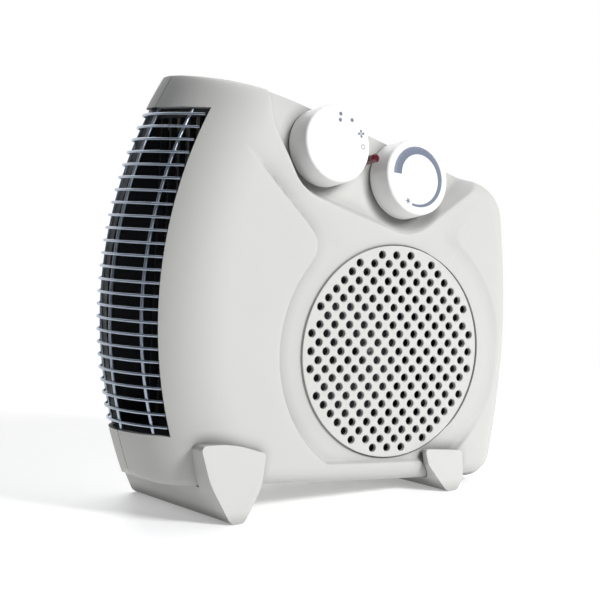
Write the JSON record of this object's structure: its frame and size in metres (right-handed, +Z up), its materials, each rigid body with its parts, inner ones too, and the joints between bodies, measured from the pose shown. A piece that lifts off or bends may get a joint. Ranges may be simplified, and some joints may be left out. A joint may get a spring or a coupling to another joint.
{
  "type": "ceramic fan heater",
  "caption": "Upright ceramic fan heater with a round perforated intake, a bowed wire outlet along one side, two control knobs in a recess and two feet.",
  "frame": {"origin": "centre of the bounding box at floor level", "axes": "+X from the outlet side towards the rounded side, +Y from the intake face to the back, +Z up"},
  "size_m": [0.2586, 0.122, 0.2562],
  "materials": {
    "shell_plastic": "fine moulded satin, very light warm grey",
    "grille_plastic": "fine moulded satin",
    "knob_plastic": "smooth semi-gloss white",
    "mark_ink": "slate grey printing ink",
    "grille_wire": "bright plated wire",
    "duct_black": "black heat-proof moulding",
    "mica_board": "dark heat-proof moulding",
    "ptc_ceramic": "dull fired ceramic",
    "fin_aluminium": "rolled sheet",
    "terminal_brass": "rolled",
    "impeller_grey": "dull pressed sheet",
    "bright_steel": "zinc plated",
    "core_steel": "stacked laminations",
    "nylon": "natural nylon",
    "enamelled_copper": "enamelled winding wire",
    "steatite": "unglazed",
    "lamp_red": "clear dark red",
    "lamp_glass": "clear",
    "gland_rubber": "soft black",
    "lead_brown": "sleeved lead",
    "lead_black": "sleeved lead",
    "lead_blue": "sleeved lead"
  },
  "bodies": {
    "housing": {"front_cover": "shell_plastic", "rear_housing": "shell_plastic", "intake_grille": "grille_plastic", "outlet_wire_grille": "grille_wire", "outlet_duct": "duct_black", "element_guard_ribs": "duct_black", "element_end_caps": "mica_board", "ceramic_stones": "ptc_ceramic", "electrode_strips": "fin_aluminium", "element_fins": "fin_aluminium", "element_terminals": "terminal_brass", "fan_scroll": "duct_black", "fan_inlet_plate": "duct_black", "motor_stator": "core_steel", "motor_bobbin": "nylon", "motor_winding": "enamelled_copper", "front_bearing_bracket": "bright_steel", "rear_bearing_bracket": "bright_steel", "bearing_bushes": "terminal_brass", "motor_screws": "bright_steel", "motor_plate": "bright_steel", "mode_switch": "nylon", "thermostat_body": "steatite", "thermostat_blades": "terminal_brass", "control_nuts": "bright_steel", "control_terminals": "terminal_brass", "pilot_lamp_lens": "lamp_red", "pilot_lamp_bulb": "lamp_glass", "pilot_lamp_clip": "nylon", "terminal_block": "nylon", "terminal_screws": "terminal_brass", "cord_gland": "gland_rubber", "thermal_cutout": "fin_aluminium", "thermal_fuse": "bright_steel", "supply_lead": "lead_brown", "motor_lead": "lead_black", "element_lead": "lead_brown", "neutral_lead": "lead_blue", "shell_screws": "bright_steel", "foot_screws": "bright_steel", "outlet_side_foot": "shell_plastic", "back_side_foot": "shell_plastic"},
    "fan_rotor": {"impeller": "impeller_grey", "motor_shaft": "bright_steel", "motor_rotor": "core_steel", "shaft_collars": "bright_steel"},
    "mode_control": {"mode_knob": "knob_plastic", "mode_spindle": "nylon"},
    "thermostat_control": {"thermostat_knob": "knob_plastic", "thermostat_spindle": "nylon"}
  },
  "joints": [
    {"name": "fan_spin", "type": "hinge", "parent": "housing", "child": "fan_rotor", "pos_m": [0.03755, 0.02, 0.08841], "axis": [0, 1, 0], "continuous": true},
    {"name": "mode_turn", "type": "hinge", "parent": "housing", "child": "mode_control", "pos_m": [-0.00102, -0.05429, 0.21478], "axis": [0.0596, -0.9848, 0.1631], "range_deg": [-90, 0]},
    {"name": "thermostat_turn", "type": "hinge", "parent": "housing", "child": "thermostat_control", "pos_m": [0.05608, -0.05437, 0.19351], "axis": [0.0596, -0.9848, 0.1631], "range_deg": [0, 285]}
  ]
}
